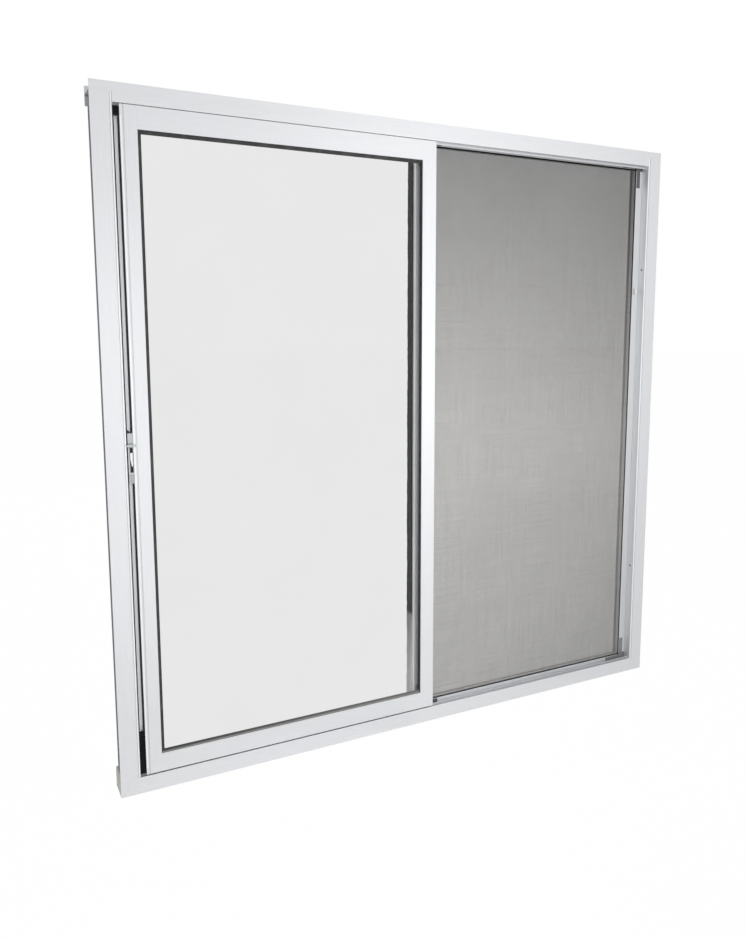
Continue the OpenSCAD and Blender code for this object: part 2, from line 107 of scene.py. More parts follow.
# Height, in metres, of the lowest light dust on the seal, and of the edge of its grey part
FOOT_DUST_START = 0.06
FOOT_DUST_EDGE = 0.008

# Widths of rounded edges, in millimetres
PROFILE_EDGE = 0.18
PANE_EDGE = 0.3
MOULDED_EDGE = 0.5

# Faces of the upright profiles in a brighter copy of the aluminium, painted light and painted highlights
# on beads, lips and shaded flanks: two X, two depths, and what stays plain at the foot and top
PAINTED_LIGHT_ZONES = {
    "jamb_left": [(-570.0, -565.5, -1.0, 4.0, 0.0, 0.0)],
    "jamb_right": [(565.5, 570.0, -1.0, 4.0, 0.0, 0.0), (555.0, 562.0, 47.0, 51.0, 0.0, 0.0)],
    "sash_lock_stile": [(-556.0, -551.9, -1.0, 4.2, 12.0, 17.0)],
    "screen_left_bar": [(-10.5, -9.7, 19.0, 28.5, 0.0, 0.0)],
}
# Faces of the sill's track in a brighter copy of the aluminium, painted light: two X, two depths and two
# heights
SILL_PAINTED_LIGHT_ZONE = (-600.0, 600.0, 2.0, 13.0, 18.0, 32.0)

# Gaskets: where a lip's stretch starts, its shares on an even ring, and the sash's depths
LIP_START = 1.0
EVEN_LIPS = (1.0, 1.0, 1.0, 1.0)
SASH_METAL = (1.8, 12.2)
SASH_PANE = (5.5, 8.5)

# Insect screen
THREAD_PITCH = 1.2
THREAD_JITTER = 0.08
THREAD_R = 0.29
THREAD_R_SHARES = (0.93, 1.05)
THREAD_SIDES = 5
THREAD_TUCK = 1.0
THREAD_UP_DEPTH = 20.25
THREAD_ALONG_DEPTH = 20.26
CORD_DEPTH = 21.45
CORD_HALF_HEIGHT = 1.4
CORD_SIDES = 32
CORD_GROOVE = 0.9
CORD_PLAY = 0.02

# Brushes, in millimetres or in shares of a tuft's length, pitch and radius
BRUSH_END = 0.5
TUFT_DRIFT = 0.25
TUFT_LENGTHS = (0.88, 0.99)
TUFT_LEAN = 0.12
TUFT_RISE = 0.35
TUFT_TIP = 0.45

# Ragged seal of the mullion
SEAL_PITCH = 4.0
SEAL_CELLS = 10
SEAL_TEAR = (-0.2, 0.08)
SEAL_FULL = 0.995

# Foam pads
PAD_OUTER = 600.0
PAD_INNER = 592.0
PAD_DEPTHS = (1.3, 48.7)
PAD_LOW_TOP = 12.7
PAD_HIGH_FOOT = 14.0
PAD_FOOT = 1.3
PAD_CELL = 1.3
PAD_DENT = 0.22
PAD_CORNER = 0.35

# Stops in the gap beside the sash
BUMPER_X = (-566.0, -555.7)
BUMPER_DEPTHS = (4.0, 15.0)
GROOVE_PITCH = 4.6
GROOVE_START = 4.0
GROOVE_DEPTH = 4.9
GROOVE_STEPS = (0.3, 1.1, 1.4)

# Rollers, screws and hole plugs; a profile is a list of (radius, along)
ROLLER_DEPTH = 11.0
ROLLER_HEIGHT = 40.0
WHEEL_PROFILE = [
    (2.0, -3.0), (4.2, -3.0), (4.4, -2.5), (8.6, -2.4), (9.4, -2.9), (10.6, -3.0), (11.0, -2.7),
    (11.0, -1.7), (10.4, -1.4), (9.2, -1.2), (9.0, -0.9), (9.0, 0.9), (9.2, 1.2), (10.4, 1.4),
    (11.0, 1.7), (11.0, 2.7), (10.6, 3.0), (9.4, 2.9), (8.6, 2.4), (4.4, 2.5), (4.2, 3.0),
    (2.0, 3.0), (2.0, -3.0)]
AXLE_PROFILE = [
    (0.0, -9.1), (2.4, -9.1), (2.6, -8.7), (2.6, -8.2), (1.95, -8.2), (1.95, 6.5), (0.0, 6.5)]
SCREW_PROFILE = [(0.0, 1.5), (1.2, 1.46), (2.3, 1.28), (3.0, 0.95), (3.35, 0.5), (3.4, 0.0), (0.0, 0.0)]
RECESS_ARM = 1.9
RECESS_HALF_WIDTH = 0.42
RECESS_SPAN = (0.55, 2.5)
FRAME_SCREW_X = 571.0
FRAME_SCREW_DEPTHS = (12.0, 34.0)
FRAME_SCREW_HEIGHT = 1187.3
SASH_SCREW_X = 24.5
SASH_SCREW_DEPTH = 10.0
PLUG_PROFILE = [(0.0, 0.3), (1.9, 0.3), (2.44, 0.45), (2.44, 1.2), (0.0, 1.2)]
PLUG_X = 566.0
PLUG_DEPTH = 11.0
PLUG_HEIGHTS = (256.0, 944.0)

# Latch: outlines of X and height, and depths
LEVER_OUTLINE = [
    (-560.8, 607.4), (-556.95, 607.4), (-556.95, 589.0), (-557.1, 586.2), (-557.7, 584.4),
    (-558.5, 583.8), (-559.1, 585.0), (-559.3, 588.0), (-559.8, 591.4), (-560.5, 595.0),
    (-560.8, 599.0)]
LEVER_DEPTHS = (0.25, 8.9)
# Black rubber inside the latch: a wedge on the case's top, and a block that fills the lever's slot as
# painted shade for the slot's depth
TOP_WEDGE_OUTLINE = [(-565.0, 640.4), (-559.6, 640.4), (-559.9, 643.4), (-565.0, 647.2)]
TOP_WEDGE_DEPTHS = (3.5, 12.0)
SLOT_SHADE_RECT = (-561.3, -556.6, 574.1, 615.9)
SLOT_SHADE_DEPTHS = (4.2, 8.95)
KEEPER_RECT = (5.2, 15.0, 560.0, 636.0)
KEEPER_X = (-566.0, -564.8)

# Seeds of the random draws
SEEDS = {
    "threads": 7, "jamb_brush": 11, "stile_brush": 12, "meeting_brush": 13, "seal": 17, "pads": 21}


def at(x, d, z):
    """Point of the frame in metres, from millimetres: X, depth behind the front face, height."""
    return Vector((x * MM, (d - HALF_DEPTH) * MM, z * MM))


def reach(node, axis, side):
    """Lowest (0) or highest (1) place of a CAD node along an axis, in the millimetres of at()."""
    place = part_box(node)[side]["xdz".index(axis)] / MM
    return place + HALF_DEPTH if axis == "d" else place


def span(node, axis):
    """Lowest and highest place of a CAD node along an axis."""
    return reach(node, axis, 0), reach(node, axis, 1)


SASH_SIGHT = (
    reach("sash_lock_stile", "x", 1), reach("sash_meeting_stile", "x", 0),
    reach("sash_bottom_rail", "z", 1), reach("sash_top_rail", "z", 0))
FIXED_SIGHT = (reach("mullion", "x", 1), reach("jamb_right", "x", 0), *span("mullion", "z"))
SCREEN_RECT = (
    reach("screen_left_bar", "x", 0), reach("screen_right_bar", "x", 1),
    reach("screen_bottom_bar", "z", 0), reach("screen_top_bar", "z", 1))
ROLLER_INSET = 70.0
ROLLER_X = (SASH_SIGHT[0] + ROLLER_INSET, SASH_SIGHT[1] - ROLLER_INSET)


# Node trees

def new_material(name):
    """An empty node material, its node tree and its output node."""
    material = bpy.data.materials.new(name)
    material.use_nodes = True
    tree = material.node_tree
    tree.nodes.clear()
    output = tree.nodes.new("ShaderNodeOutputMaterial")
    return material, tree, output


def add_node(tree, kind, **values):
    """A node of the tree, with its properties and its inputs set by name."""
    made = tree.nodes.new(kind)
    for key, value in values.items():
        if hasattr(made, key):
            setattr(made, key, value)
        else:
            made.inputs[key.replace("_", " ")].default_value = value
    return made


def object_place(tree, scale=EVEN):
    """Object coordinates in metres, scaled by a vector."""
    coordinates = add_node(tree, "ShaderNodeTexCoord")
    mapping = add_node(tree, "ShaderNodeMapping", Scale=scale)
    tree.links.new(coordinates.outputs["Object"], mapping.inputs["Vector"])
    return mapping.outputs["Vector"]


def noise(tree, vector, scale, detail=3.0, roughness=0.55):
    """Value of a noise texture, from 0 to 1."""
    made = add_node(tree, "ShaderNodeTexNoise", Scale=scale, Detail=detail, Roughness=roughness)
    tree.links.new(vector, made.inputs["Vector"])
    return made.outputs["Fac"]


def spread(tree, value, low, high, start=0.3, end=0.7):
    """A value from start to end, spread to run from low to high."""
    made = add_node(
        tree, "ShaderNodeMapRange", From_Min=start, From_Max=end, To_Min=low, To_Max=high)
    tree.links.new(value, made.inputs["Value"])
    return made.outputs["Result"]


def upward_part(tree, vector):
    """The Z part of a vector."""
    parts = add_node(tree, "ShaderNodeSeparateXYZ")
    tree.links.new(vector, parts.inputs["Vector"])
    return parts.outputs["Z"]


def calculate(tree, operation, first, second):
    """Result of a Math node on a link and on a link or a number."""
    made = add_node(tree, "ShaderNodeMath", operation=operation)
    tree.links.new(first, made.inputs[0])
    if isinstance(second, float):
        made.inputs[1].default_value = second
    else:
        tree.links.new(second, made.inputs[1])
    return made.outputs[0]


def mix_colours(tree, share, first, second):
    """A colour between two, by a linked share; each colour is a link or a tuple."""
    made = add_node(tree, "ShaderNodeMix", data_type="RGBA")
    for socket, value in (("A", first), ("B", second)):
        target = [s for s in made.inputs if s.name == socket and s.type == "RGBA"][0]
        if isinstance(value, tuple):
            target.default_value = (*value, 1.0)
        else:
            tree.links.new(value, target)
    factor = [s for s in made.inputs if s.name == "Factor" and s.type == "VALUE"][0]
    tree.links.new(share, factor)
    return [s for s in made.outputs if s.type == "RGBA"][0]


def mix_shaders(tree, output, share, first, second):
    """Gives the output a shader between two, by a linked share."""
    mixed = add_node(tree, "ShaderNodeMixShader")
    tree.links.new(share, mixed.inputs["Fac"])
    tree.links.new(first.outputs[0], mixed.inputs[1])
    tree.links.new(second.outputs[0], mixed.inputs[2])
    tree.links.new(mixed.outputs["Shader"], output.inputs["Surface"])


def scaled(colour, gain):
    """A colour with each part multiplied."""
    return tuple(gain * part for part in colour)


def painted_recess_shade(tree, colour, distance, dark, power, alone=False):
    """The colour, falling to a dark one in grooves and corners as painted shade; distance is in metres.

    Where alone is set, only the piece's own faces darken it.
    """
    near = add_node(
        tree, "ShaderNodeAmbientOcclusion", samples=8, only_local=alone, Distance=distance)
    curve = calculate(tree, "POWER", near.outputs["AO"], power)
    return mix_colours(tree, curve, dark, colour)


def bump(tree, height, strength, distance, normal=None):
    """Normal of a bump; distance is in metres."""
    made = add_node(tree, "ShaderNodeBump", Strength=strength, Distance=distance)
    tree.links.new(height, made.inputs["Height"])
    if normal is not None:
        tree.links.new(normal, made.inputs["Normal"])
    return made.outputs["Normal"]


def principled(tree, output, **values):
    """The material's Principled shader, linked to the output."""
    shader = add_node(tree, "ShaderNodeBsdfPrincipled", **values)
    tree.links.new(shader.outputs["BSDF"], output.inputs["Surface"])
    return shader


# Materials

def make_aluminium(name, length_axis, painted_shade_reach, gain=1.0):
    """Matte silver anodised extrusion with faint die lines along its length.

    Recesses narrower than the third argument, in metres, are darkened as painted shade; a gain above 1
    makes the whole finish brighter, as painted light.
    """
    material, tree, output = new_material(name)
    across = [1.0, 1.0, 1.0]
    across[length_axis] = 0.012
    shader = principled(tree, output, Metallic=0.5)
    lines = noise(tree, object_place(tree, tuple(across)), 1700.0, 2.0)
    place = object_place(tree)
    clouds = noise(tree, place, 5.0, 4.0)
    grain = noise(tree, place, 5200.0, 1.0)
    marks = noise(tree, place, 90.0, 6.0, 0.7)
    dark, light, cloud = (
        scaled(colour, gain) for colour in (ALUMINIUM_DARK, ALUMINIUM_LIGHT, ALUMINIUM_CLOUD))
    tone = mix_colours(tree, spread(tree, lines, 0.0, 1.0), dark, light)
    shade = mix_colours(tree, spread(tree, clouds, 0.0, 0.5), tone, cloud)
    spots = mix_colours(tree, spread(tree, marks, 0.0, 0.35, 0.64, 0.8), shade, ALUMINIUM_SPOT)
    # Painted shade in the piece's own grooves and corners
    shadowed = painted_recess_shade(tree, spots, painted_shade_reach, ALUMINIUM_PAINTED_SHADE, 1.5, True)
    tree.links.new(shadowed, shader.inputs["Base Color"])
    tree.links.new(spread(tree, marks, 0.34, 0.44), shader.inputs["Roughness"])
    fine = bump(tree, grain, 0.12, 0.00004)
    tree.links.new(bump(tree, lines, 0.16, 0.00005, fine), shader.inputs["Normal"])
    return material


def make_rubber(name, colour, worn, dusty=0.0, gloss=0.5, grey_below=0.0):
    """Black extruded rubber with a dull skin; a share of dust lies on the faces that look up.

    Below a height in metres it is grey with dust all round.
    """
    material, tree, output = new_material(name)
    shader = principled(tree, output, IOR=1.5, Specular_IOR_Level=gloss)
    place = object_place(tree)
    dust = noise(tree, place, 60.0, 5.0, 0.65)
    skin = noise(tree, place, 3200.0, 2.0)
    colours = mix_colours(tree, spread(tree, dust, 0.0, 0.8, 0.45, 0.8), colour, worn)
    if dusty:
        facing = add_node(tree, "ShaderNodeNewGeometry")
        rising = upward_part(tree, facing.outputs["Normal"])
        lying = spread(tree, rising, 0.0, dusty, 0.1, 0.7)
        colours = mix_colours(tree, lying, colours, DUST)
    if grey_below:
        height = upward_part(tree, place)
        fading = spread(tree, height, 1.0, 0.0, FOOT_DUST_START, grey_below)
        dust_tone = mix_colours(tree, fading, FOOT_DUST_HIGH, FOOT_DUST_LOW)
        low = spread(tree, height, 1.0, 0.0, grey_below - FOOT_DUST_EDGE, grey_below)
        colours = mix_colours(tree, low, colours, dust_tone)
    tree.links.new(colours, shader.inputs["Base Color"])
    tree.links.new(spread(tree, dust, 0.42, 0.62), shader.inputs["Roughness"])
    tree.links.new(bump(tree, skin, 0.2, 0.00006), shader.inputs["Normal"])
    return material


def make_pile(name):
    """Dark wool-like brush fibres."""
    material, tree, output = new_material(name)
    shader = principled(tree, output, Roughness=0.85, Sheen_Weight=0.3)
    strands = noise(tree, object_place(tree), 2600.0, 2.0)
    colours = mix_colours(
        tree, spread(tree, strands, 0.0, 1.0), (0.035, 0.035, 0.037), (0.14, 0.14, 0.145))
    tree.links.new(colours, shader.inputs["Base Color"])
    tree.links.new(bump(tree, strands, 0.4, 0.0001), shader.inputs["Normal"])
    return material


def make_plastic(name, dark, light, roughness):
    """Moulded plastic with a fine spark-eroded grain."""
    material, tree, output = new_material(name)
    shader = principled(tree, output, IOR=1.49)
    place = object_place(tree)
    grain = noise(tree, place, 2400.0, 3.0)
    flow = noise(tree, place, 45.0, 4.0)
    colours = mix_colours(tree, spread(tree, flow, 0.0, 1.0), dark, light)
    # Painted shade in grooves and corners within 6 mm
    shadowed = painted_recess_shade(tree, colours, 0.006, scaled(dark, 0.25), 1.5)
    tree.links.new(shadowed, shader.inputs["Base Color"])
    tree.links.new(spread(tree, flow, roughness, roughness + 0.12), shader.inputs["Roughness"])
    tree.links.new(bump(tree, grain, 0.25, 0.00008), shader.inputs["Normal"])
    return material


def make_foam(name):
    """Pale yellow-green closed foam with open pores on its cut faces."""
    material, tree, output = new_material(name)
    shader = principled(
        tree, output, Roughness=0.9, Subsurface_Weight=0.1, Subsurface_Scale=0.002)
    pores = add_node(tree, "ShaderNodeTexVoronoi", Scale=900.0)
    tree.links.new(object_place(tree), pores.inputs["Vector"])
    colours = mix_colours(
        tree, spread(tree, pores.outputs["Distance"], 0.0, 1.0, 0.1, 0.6),
        (0.76, 0.765, 0.64), (0.96, 0.965, 0.86))
    tree.links.new(colours, shader.inputs["Base Color"])
    tree.links.new(bump(tree, pores.outputs["Distance"], 0.5, 0.0003), shader.inputs["Normal"])
    return material


def make_metal(name, dark, light, roughness, metallic):
    """Cast or turned metal, satin, with a fine mottle."""
    material, tree, output = new_material(name)
    shader = principled(tree, output, Metallic=metallic)
    place = object_place(tree)
    mottle = noise(tree, place, 420.0, 5.0, 0.6)
    grain = noise(tree, place, 3600.0, 2.0)
    colours = mix_colours(tree, spread(tree, mottle, 0.0, 1.0), dark, light)
    # Painted shade in grooves and corners within 8 mm
    shadowed = painted_recess_shade(tree, colours, 0.008, scaled(dark, 0.15), 1.6)
    tree.links.new(shadowed, shader.inputs["Base Color"])
    tree.links.new(spread(tree, mottle, roughness, roughness + 0.14), shader.inputs["Roughness"])
    tree.links.new(bump(tree, grain, 0.15, 0.00006), shader.inputs["Normal"])
    return material


def make_glass(name, tint):
    """Clear float glass; light passes it, so that what is behind isn't darkened twice."""
    material, tree, output = new_material(name)
    shader = principled(tree, output, Transmission_Weight=1.0, IOR=1.3)
    smears = noise(tree, object_place(tree), 7.0, 4.0, 0.6)
    colours = mix_colours(tree, spread(tree, smears, 0.0, 1.0), tint, scaled(tint, 0.985))
    tree.links.new(colours, shader.inputs["Base Color"])
    tree.links.new(spread(tree, smears, 0.0, 0.012, 0.55, 0.8), shader.inputs["Roughness"])
    clear = add_node(tree, "ShaderNodeBsdfTransparent", Color=(0.93, 0.94, 0.94, 1.0))
    rays = add_node(tree, "ShaderNodeLightPath")
    mix_shaders(tree, output, rays.outputs["Is Shadow Ray"], shader, clear)
    return material


def make_thread(name, stretch):
    """Grey vinyl coating of the screen's threads, painted darker at the top and lighter towards the
    foot, as painted shade and painted light.
    """
    material, tree, output = new_material(name)
    shader = principled(tree, output, Roughness=0.6)
    streaks = noise(tree, object_place(tree, stretch), 420.0, 2.0)
    place = object_place(tree)
    clouds = noise(tree, place, 3.2, 3.0)
    lower = spread(tree, upward_part(tree, place), 1.0, 0.0, 0.6, 1.15)
    # Painted light: the threads lighten from 1.15 m down to 0.6 m
    dusty = mix_colours(tree, lower, THREAD_TOP_PAINTED_SHADE, THREAD_FOOT_PAINTED_LIGHT)
    cloudy = mix_colours(tree, spread(tree, clouds, 0.0, 0.35), dusty, THREAD_CLOUD)
    colours = mix_colours(tree, spread(tree, streaks, 0.0, 0.5), cloudy, THREAD_STREAK)
    tree.links.new(colours, shader.inputs["Base Color"])
    tree.links.new(bump(tree, streaks, 0.3, 0.00005), shader.inputs["Normal"])
    return material


aluminium_x = make_aluminium("aluminium_along_x", ALONG_X, painted_shade_reach=0.012)
track_aluminium = make_aluminium("track_aluminium_along_x", ALONG_X, painted_shade_reach=0.004)
aluminium_z = make_aluminium("aluminium_along_z", ALONG_Z, painted_shade_reach=0.05)
screen_aluminium = make_aluminium("screen_aluminium_along_z", ALONG_Z, painted_shade_reach=0.01)
# Brighter copies of the aluminium, which paint light and highlights onto beads, lips, the track and
# faces in shade
painted_light_aluminium = make_aluminium("painted_light_aluminium_along_z", ALONG_Z, painted_shade_reach=0.004, gain=1.2)
painted_light_track_aluminium = make_aluminium(
    "painted_light_track_aluminium_along_x", ALONG_X, painted_shade_reach=0.0005, gain=1.25)
sash_glass_finish = make_glass("sash_glass_finish", (0.81, 0.812, 0.812))
fixed_glass_finish = make_glass("fixed_glass_finish", (0.88, 0.885, 0.883))
rubber = make_rubber("black_rubber_finish", (0.018, 0.018, 0.02), (0.06, 0.059, 0.057))
deep_rubber = make_rubber("deep_rubber_finish", DEEP_BLACK, DEEP_BLACK_WORN, gloss=0.12)
seal_rubber = make_rubber(
    "seal_rubber_finish", DEEP_BLACK, DEEP_BLACK_WORN, gloss=0.12, grey_below=0.232)
gasket_rubber = make_rubber(
    "gasket_rubber_finish", (0.02, 0.02, 0.022), (0.08, 0.078, 0.075), dusty=0.85)
pile = make_pile("black_pile_finish")
dark_plastic = make_plastic(
    "dark_plastic_finish", (0.095, 0.097, 0.10), (0.15, 0.152, 0.156), roughness=0.42)
# A paler copy of the dark plastic, for the screen's lower right corner
pale_plastic = make_plastic(
    "pale_plastic_finish", (0.23, 0.233, 0.237), (0.34, 0.343, 0.347), roughness=0.5)
nylon = make_plastic("white_nylon_finish", (0.77, 0.775, 0.78), (0.87, 0.873, 0.877), roughness=0.32)
foam = make_foam("pale_foam_finish")
zinc = make_metal(
    "zinc_finish", (0.52, 0.54, 0.545), (0.70, 0.72, 0.725), roughness=0.3, metallic=0.9)
steel = make_metal(
    "steel_finish", (0.42, 0.42, 0.43), (0.62, 0.62, 0.63), roughness=0.22, metallic=1.0)
thread_up = make_thread("screen_thread_up", (1.0, 1.0, 0.02))
thread_along = make_thread("screen_thread_along", (0.02, 1.0, 1.0))

SLOT_FINISH = {
    "aluminium": aluminium_z,
    "glass": fixed_glass_finish,
    "black_rubber": rubber,
    "black_pile": pile,
    "dark_plastic": dark_plastic,
    "pale_foam": foam,
    "white_nylon": nylon,
    "latch_metal": zinc,
    "screen_mesh": thread_up,
}


# Meshes

def link_bmesh(name, bm):
    """An object of the scene with the mesh of a bmesh, which is freed."""
    mesh = bpy.data.meshes.new(name)
    bm.to_mesh(mesh)
    bm.free()
    made = bpy.data.objects.new(name, mesh)
    bpy.context.scene.collection.objects.link(made)
    return made


def add_piece(name, bm, finishes, nodes=(), smooth=25.0):
    """Makes the piece of a bmesh, with its finish, its body and the CAD nodes that it stands for.

    Flat faces keep their own normals beside rounded edges, so that reflections stay straight.
    """
    bmesh.ops.recalc_face_normals(bm, faces=bm.faces)
    piece = link_bmesh(name, bm)
    for finish in finishes:
        piece.data.materials.append(finish)
    piece.data.shade_smooth()
    piece.data.set_sharp_from_angle(angle=math.radians(smooth))
    even = piece.modifiers.new("even_normals", "WEIGHTED_NORMAL")
    even.mode = "FACE_AREA"
    even.weight = 100
    even.keep_sharp = True
    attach(piece, "root")
    if nodes:
        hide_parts(*nodes)
    return piece


def round_edges(bm, width, segments=2, least=40.0):
    """Rounds by a width in millimetres the edges that turn more than a least angle in degrees."""
    limit = math.radians(least)
    sharp = [e for e in bm.edges if len(e.link_faces) == 2 and e.calc_face_angle(0.0) > limit]
    bmesh.ops.bevel(
        bm, geom=sharp, offset=width * MM, offset_type="OFFSET",
        segments=segments, profile=0.5, affect="EDGES", clamp_overlap=False)


def clean_copy(node):
    """The mesh of a CAD node as a bmesh with shared corners and whole faces."""
    bm = bmesh.new()
    bm.from_mesh(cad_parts[node].data)
    bmesh.ops.remove_doubles(bm, verts=bm.verts, dist=0.000002)
    bmesh.ops.dissolve_limit(
        bm, angle_limit=math.radians(0.5), use_dissolve_boundaries=False,
        verts=bm.verts, edges=bm.edges, delimit=set())
    return bm


def rounded_node(name, node, finish, width, segments=2):
    """A copy of a CAD node with rounded edges, which stands for it."""
    bm = clean_copy(node)
    round_edges(bm, width, segments)
    add_piece(name, bm, [finish], [node])


def add_prism(bm, outline, axis, start, end):
    """Extrudes an outline in millimetres along an axis of the frame: "x", "d" or "z"."""
    order = {
        "x": lambda a, b, along: at(along, a, b),
        "d": lambda a, b, along: at(a, along, b),
        "z": lambda a, b, along: at(a, b, along),
    }[axis]
    ends = [[bm.verts.new(order(a, b, along)) for a, b in outline] for along in (start, end)]
    bm.faces.new(ends[0])
    bm.faces.new(ends[1][::-1])
    count = len(outline)
    for i in range(count):
        j = (i + 1) % count
        bm.faces.new((ends[0][i], ends[1][i], ends[1][j], ends[0][j]))


def rectangle(a0, a1, b0, b1):
    """Outline of a rectangle."""
    return [(a0, b0), (a1, b0), (a1, b1), (a0, b1)]


def add_ring(bm, rect, profile, lips=EVEN_LIPS):
    """Sweeps a profile of (inset, depth) round a rectangle, with mitred corners.

    What reaches in past 1 mm is stretched by the shares of the left, right, lower and upper side.
    """
    x0, x1, z0, z1 = rect
    left, right, lower, upper = lips
    corners = [
        (x0, z0, 1, 1, left, lower), (x1, z0, -1, 1, right, lower),
        (x1, z1, -1, -1, right, upper), (x0, z1, 1, -1, left, upper)]
    loops = []
    for x, z, sx, sz, share_x, share_z in corners:
        loop = []
        for inset, d in profile:
            near = min(inset, LIP_START)
            past = inset - near
            loop.append(bm.verts.new(at(
                x + sx * (near + past * share_x), d, z + sz * (near + past * share_z))))
        loops.append(loop)
    count = len(profile)
    for c in range(4):
        here, there = loops[c], loops[(c + 1) % 4]
        for i in range(count):
            j = (i + 1) % count
            bm.faces.new((here[i], there[i], there[j], here[j]))


def add_turned(bm, profile, x, d, z, axis, count):
    """Turns a profile of (radius, along) about an axis through a point: "x" or "d"."""
    loops = []
    for i in range(count):
        step = 2 * math.pi * i / count
        side, up = math.cos(step), math.sin(step)
        if axis == "d":
            loop = [at(x + r * side, d + along, z + r * up) for r, along in profile]
        else:
            loop = [at(x + along, d + r * side, z + r * up) for r, along in profile]
        loops.append([bm.verts.new(p) for p in loop])
    for i in range(count):
        here, there = loops[i], loops[(i + 1) % count]
        for j in range(len(profile) - 1):
            bm.faces.new((here[j], there[j], there[j + 1], here[j + 1]))
    bmesh.ops.remove_doubles(bm, verts=bm.verts, dist=0.0000005)


# Aluminium profiles

def add_painted_light_profile(node, zones, finishes):
    """A profile with rounded edges and painted-light faces in zones, each of two X, two depths and two
    heights.
    """
    bm = clean_copy(node)
    round_edges(bm, PROFILE_EDGE)
    for x0, x1, d0, d1, z0, z1 in zones:
        low, high = at(x0, d0, z0), at(x1, d1, z1)
        for cut in (low, high):
            bmesh.ops.bisect_plane(
                bm, geom=bm.verts[:] + bm.edges[:] + bm.faces[:], dist=0.000001,
                plane_co=cut, plane_no=(0.0, 0.0, 1.0))
        for face in bm.faces:
            middle = face.calc_center_median()
            if all(low[a] < middle[a] < high[a] for a in range(3)):
                face.material_index = 1
    add_piece(node + "_profile", bm, finishes, [node])


def make_profiles():
    """Every extrusion as its CAD node with rounded edges; the uprights and the sill get faces of painted
    light, and the pull strip and the screen's bottom bar are painted lighter all over.
    """
    finishes = {
        aluminium_x: ("sash_top_rail", "sash_bottom_rail"),
        track_aluminium: ("head", "screen_top_bar"),
        painted_light_track_aluminium: ("screen_bottom_bar",),
        aluminium_z: ("mullion", "sash_meeting_stile"),
        screen_aluminium: ("screen_right_bar",),
        painted_light_aluminium: ("pull_strip",),
    }
    for finish, nodes in finishes.items():
        for node in nodes:
            rounded_node(node + "_profile", node, finish, PROFILE_EDGE)
    upright = [aluminium_z, painted_light_aluminium]
    for node, faces in PAINTED_LIGHT_ZONES.items():
        low, high = span(node, "z")
        zones = [(*face, low + foot, high - top) for *face, foot, top in faces]
        add_painted_light_profile(node, zones, upright)
    add_painted_light_profile("sill", [SILL_PAINTED_LIGHT_ZONE], [track_aluminium, painted_light_track_aluminium])


# Glass and gaskets

def make_panes():
    """The two panes, with their edges ground."""
    rounded_node("sash_pane", "sash_glass", sash_glass_finish, PANE_EDGE)
    rounded_node("fixed_pane", "fixed_glass", fixed_glass_finish, PANE_EDGE)


def wedge(metal, glass, lip):
    """Profile of a wedge gasket from the metal's depth to the glass's, with a thin lip on the glass."""
    turn = 1 if glass > metal else -1
    fall = abs(glass - metal)
    points = [
        (-5.5, 0.1), (-4.2, 0.1), (-4.0, 0.5), (-3.2, 0.5), (-3.0, 0.1), (0.35, 0.1),
        (0.75, 0.35), (1.0, fall * 0.35), (lip * 0.5, fall * 0.62), (lip * 0.82, fall * 0.78),
        (lip, fall * 0.88), (lip, fall - 0.02), (-5.5, fall - 0.02)]
    return [(inset, metal + turn * step) for inset, step in points]


def hidden_wedge(metal, glass):
    """Profile of a wedge gasket that stays behind the edge of the metal, 5 mm from the sight line."""
    fall = metal - glass
    points = [
        (-7.9, 0.1), (-5.8, 0.1), (-5.1, 0.6), (-5.5, fall * 0.45), (-5.1, fall * 0.8),
        (-5.05, fall - 0.02), (-7.9, fall - 0.02)]
    return [(inset, metal - step) for inset, step in points]


def make_gaskets():
    """Wedge gaskets on both sides of each pane."""
    front_fin, rear_leg = span("fixed_gasket", "d")
    pane_front, pane_rear = span("fixed_glass", "d")
    rings = (
        # The front sash gasket's lips are stretched over the glass on the left, lower and upper sides:
        # real rubber, made wider as painted shade on the glass beside the frame
        ("sash_gasket_front_ring", "sash_gasket_front", SASH_SIGHT,
         (SASH_METAL[0], SASH_PANE[0], 4.0), (1.6, 0.2, 1.67, 1.8)),
        ("sash_gasket_rear_ring", "sash_gasket_rear", SASH_SIGHT,
         (SASH_METAL[1], SASH_PANE[1], 4.0), (1.0, 0.2, 1.0, 1.0)),
        ("fixed_gasket_rings", "fixed_gasket", FIXED_SIGHT,
         (front_fin, pane_front, 1.5), EVEN_LIPS),
    )
    for name, node, rect, section, lips in rings:
        bm = bmesh.new()
        add_ring(bm, rect, wedge(*section), lips)
        if node == "fixed_gasket":
            add_ring(bm, rect, hidden_wedge(rear_leg, pane_rear))
        round_edges(bm, width=0.12, least=35.0)
        add_piece(name, bm, [gasket_rubber], [node])


def make_spline():
    """Ribbed round cord pressed into the screen's groove."""
    bm = bmesh.new()
    profile = []
    inner = reach("screen_mesh", "x", 0) - reach("screen_left_bar", "x", 0)
    outer = reach("screen_spline", "x", 0) - reach("screen_left_bar", "x", 0)
    middle, half_width = (inner + outer) / 2, (inner - outer) / 2 - CORD_PLAY
    for i in range(CORD_SIDES):
        step = 2 * math.pi * i / CORD_SIDES
        share = 1.0 if i % 4 < 2 else CORD_GROOVE
        profile.append((
            middle + half_width * share * math.cos(step),
            CORD_DEPTH + CORD_HALF_HEIGHT * share * math.sin(step)))
    add_ring(bm, SCREEN_RECT, profile)
    add_piece("screen_spline_cord", bm, [deep_rubber], ["screen_spline"], 60.0)


# Insect screen

def thread_places(first, last, chance):
    """Places of the threads across a width, each a little off its even place."""
    count = int((last - first) / THREAD_PITCH)
    step = (last - first) / count
    return [
        first + step * (i + 0.5) + chance.uniform(-THREAD_JITTER, THREAD_JITTER)
        for i in range(count)]


